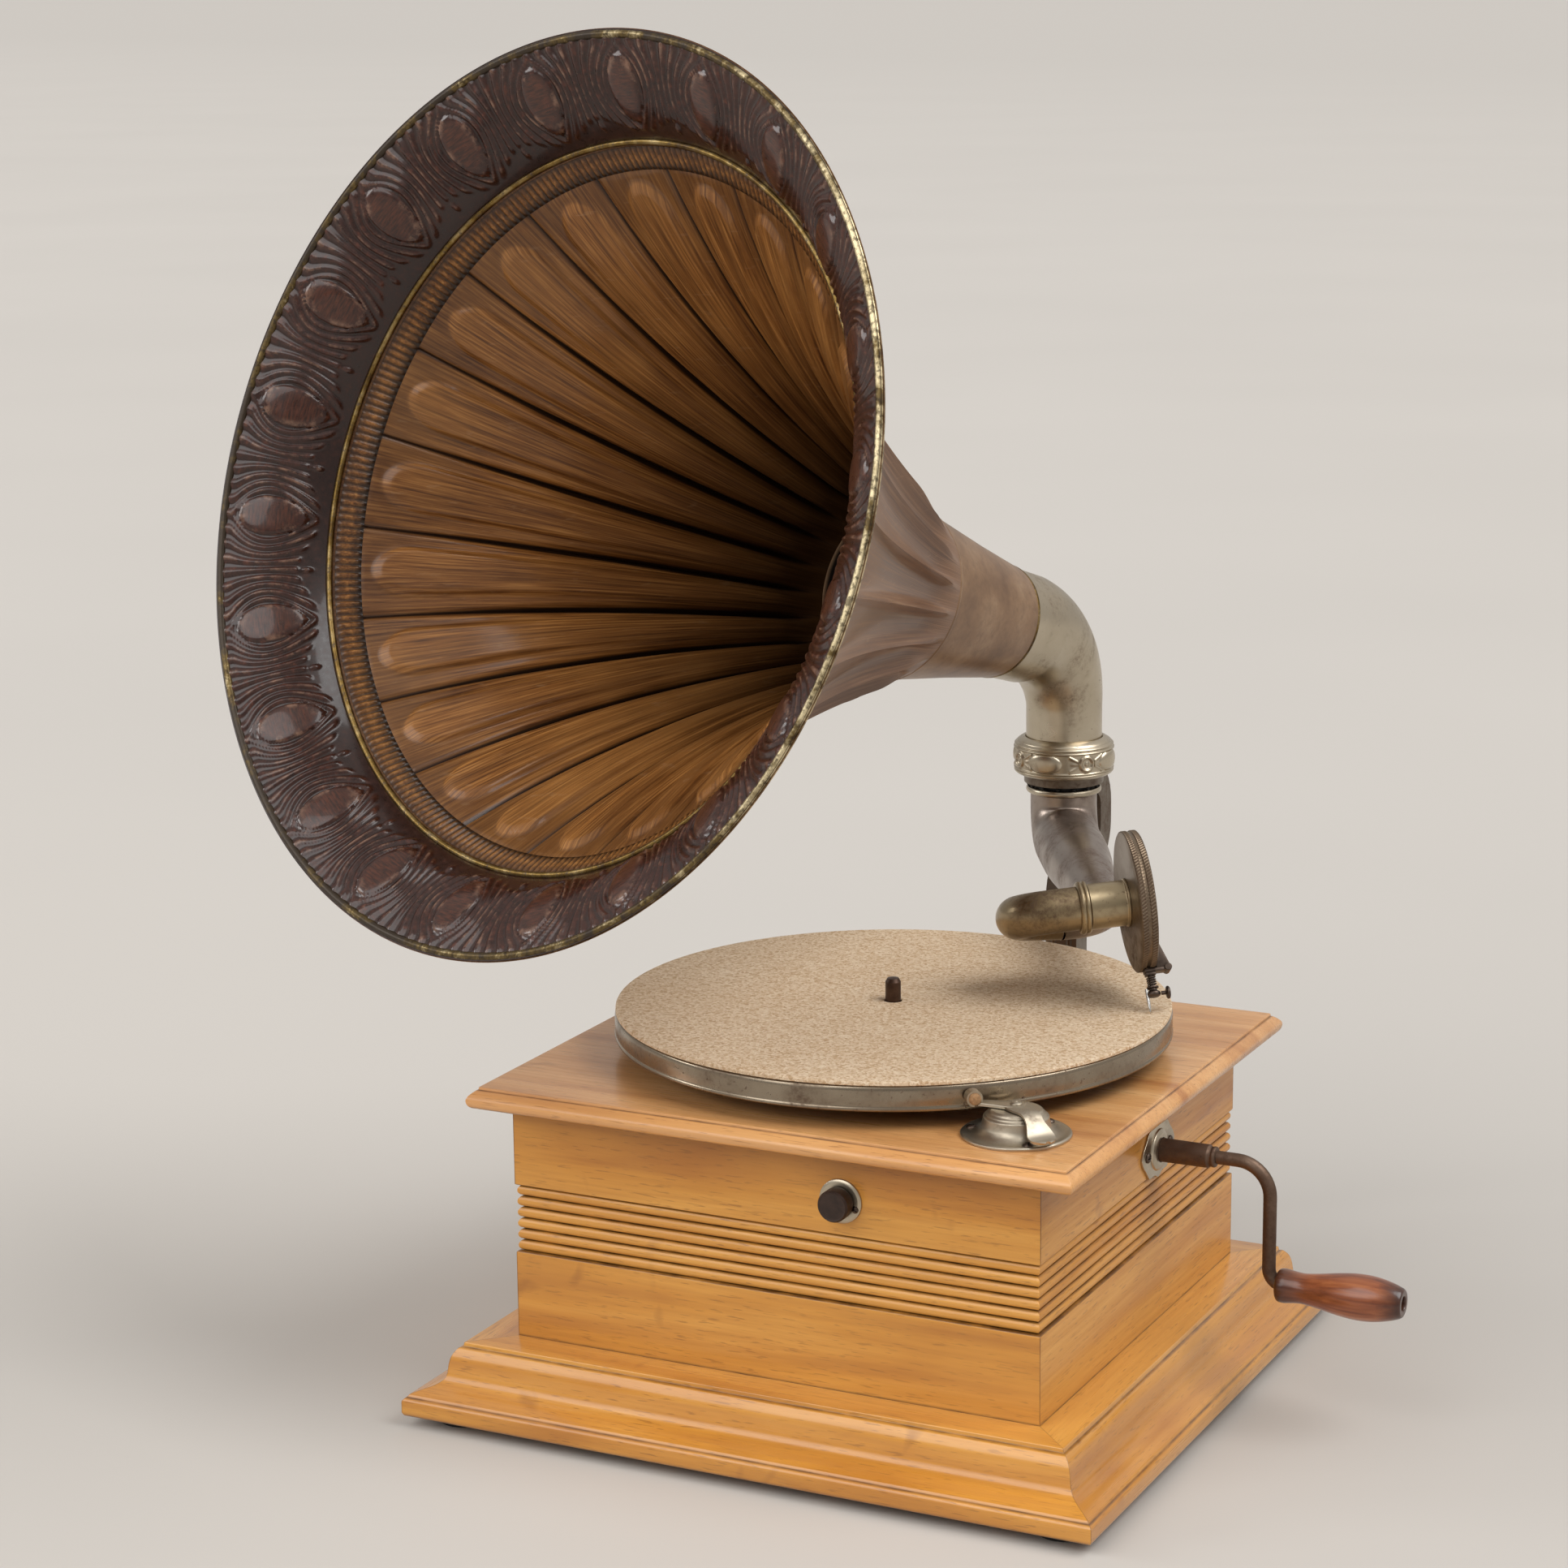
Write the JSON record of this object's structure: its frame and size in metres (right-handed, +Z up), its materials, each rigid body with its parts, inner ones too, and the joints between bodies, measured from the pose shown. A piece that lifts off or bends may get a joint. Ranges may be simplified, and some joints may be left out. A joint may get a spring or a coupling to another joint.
{
  "type": "horn gramophone",
  "caption": "Horn gramophone with a wind-up turntable in a reeded wooden case and a large fluted metal horn",
  "frame": {"origin": "on the floor under the middle of the case box, the centre of the four feet", "axes": "+X to the right, where the crank is; -Y to the front, where the speed knob is; +Z up along the spindle"},
  "size_m": [0.5349, 0.4648, 0.6033],
  "materials": {
    "case_wood": "varnished, fine grain",
    "lid_wood": "varnished, fine grain",
    "grip_wood": "varnished",
    "nickel": "worn nickel plate",
    "arm_nickel": "stained nickel plate",
    "dark_casting": "painted",
    "steel": "bare",
    "rust_steel": "browned",
    "brass": "worn",
    "rubber": "matt",
    "cork": "cork sheet",
    "leather": "worn",
    "mica": "clear",
    "horn_brown": "grained paint, satin",
    "horn_mahogany": "gloss paint over pressed pattern"
  },
  "bodies": {
    "base": {"feet": "rubber", "bottom_board": "case_wood", "plinth_front": "case_wood", "plinth_back": "case_wood", "plinth_left": "case_wood", "plinth_right": "case_wood", "case_front": "case_wood", "case_back": "case_wood", "case_left": "case_wood", "case_right": "case_wood", "corner_blocks": "case_wood", "top_board": "lid_wood", "horn_bracket": "dark_casting", "bracket_screws": "steel", "collar_nut": "nickel", "crank_escutcheon": "nickel", "escutcheon_screws": "steel", "speed_escutcheon": "nickel", "brake_base": "nickel", "brake_screws": "steel", "brake_pivot_screw": "steel", "motor_bedplate": "dark_casting", "motor_base_plate": "dark_casting", "motor_pillars": "steel", "motor_bolts": "steel", "crank_bearing": "dark_casting", "governor_bearings": "brass", "arm_bearing_balls": "steel"},
    "horn": {"horn_elbow": "nickel", "horn_throat": "horn_brown", "horn_bell": "horn_brown", "horn_flare": "horn_mahogany", "horn_rim": "brass"},
    "arm": {"tone_arm_tube": "arm_nickel"},
    "neck": {"neck_tube": "nickel", "sound_box_sleeve": "brass", "sound_box_body": "nickel", "diaphragm": "mica", "stylus_lever": "steel", "lever_spring": "steel", "needle": "steel"},
    "needle_clamp": {"thumb_screw": "steel"},
    "turntable": {"platter": "nickel", "cork_mat": "cork", "spindle": "steel"},
    "intermediate": {"intermediate_wheel": "brass"},
    "barrel": {"spring_barrel": "brass", "mainspring": "steel"},
    "winding": {"winding_arbor": "steel"},
    "governor": {"governor_shaft": "steel", "governor_weights": "brass", "governor_disc": "steel"},
    "crank": {"crank_shaft": "steel", "crank_sleeve": "nickel", "crank_rod": "rust_steel"},
    "grip": {"crank_grip": "grip_wood"},
    "brake": {"brake_lever": "nickel", "brake_pad": "leather"},
    "speed": {"speed_knob": "rust_steel"},
    "speed_link": {"speed_lever": "brass"}
  },
  "joints": [
    {"name": "horn_swivel", "type": "hinge", "parent": "base", "child": "horn", "pos_m": [0.0006, 0.212, 0.238], "axis": [0, 0, 1], "continuous": true},
    {"name": "arm_swing", "type": "hinge", "parent": "base", "child": "arm", "pos_m": [0.0006, 0.212, 0.232], "axis": [0, 0, 1], "range_deg": [-24, 30]},
    {"name": "neck_turn", "type": "hinge", "parent": "arm", "child": "neck", "pos_m": [0.0585, 0.05639, 0.20505], "axis": [-0.8426, -0.5385, 0], "range_deg": [0, 12]},
    {"name": "needle_screw", "type": "hinge", "parent": "neck", "child": "needle_clamp", "pos_m": [0.11971, 0.03907, 0.18182], "axis": [0.8394, 0.5364, 0.0872], "range_deg": [-180, 180]},
    {"name": "platter_spin", "type": "hinge", "parent": "base", "child": "turntable", "pos_m": [0.0022, 0.006, 0.171], "axis": [0, 0, 1], "continuous": true},
    {"name": "intermediate_spin", "type": "hinge", "parent": "base", "child": "intermediate", "pos_m": [0.02843, -0.015, 0.0625], "axis": [0, 0, 1], "continuous": true},
    {"name": "barrel_spin", "type": "hinge", "parent": "base", "child": "barrel", "pos_m": [0.062, 0.01645, 0.085], "axis": [0, 0, 1], "continuous": true},
    {"name": "governor_spin", "type": "hinge", "parent": "base", "child": "governor", "pos_m": [-0.0152, -0.03, 0.095], "axis": [0, 1, 0], "continuous": true},
    {"name": "crank_turn", "type": "hinge", "parent": "base", "child": "crank", "pos_m": [0.14, 0.01645, 0.1167], "axis": [1, 0, 0], "continuous": true},
    {"name": "winding_spin", "type": "hinge", "parent": "base", "child": "winding", "pos_m": [0.062, 0.01645, 0.104], "axis": [0, 0, 1], "continuous": true},
    {"name": "grip_spin", "type": "hinge", "parent": "crank", "child": "grip", "pos_m": [0.21, 0.01645, 0.0622], "axis": [1, 0, 0], "continuous": true},
    {"name": "brake_turn", "type": "hinge", "parent": "base", "child": "brake", "pos_m": [0.1028, -0.0902, 0.1644], "axis": [0, 0, 1], "range_deg": [0, 22]},
    {"name": "speed_turn", "type": "hinge", "parent": "base", "child": "speed", "pos_m": [0.0342, -0.12, 0.1212], "axis": [0, -1, 0], "range_deg": [0, 200]},
    {"name": "speed_lever_turn", "type": "hinge", "parent": "base", "child": "speed_link", "pos_m": [0.008, -0.06, 0.1195], "axis": [0, 0, 1], "range_deg": [0, 4]}
  ],
  "couplings": [
    {"joint": "intermediate_spin", "follows": "platter_spin", "ratio": -0.16667},
    {"joint": "barrel_spin", "follows": "platter_spin", "ratio": 0.025},
    {"joint": "governor_spin", "follows": "platter_spin", "ratio": 10},
    {"joint": "winding_spin", "follows": "crank_turn", "ratio": 0.33333},
    {"joint": "speed_lever_turn", "follows": "speed_turn", "ratio": 0.02}
  ]
}
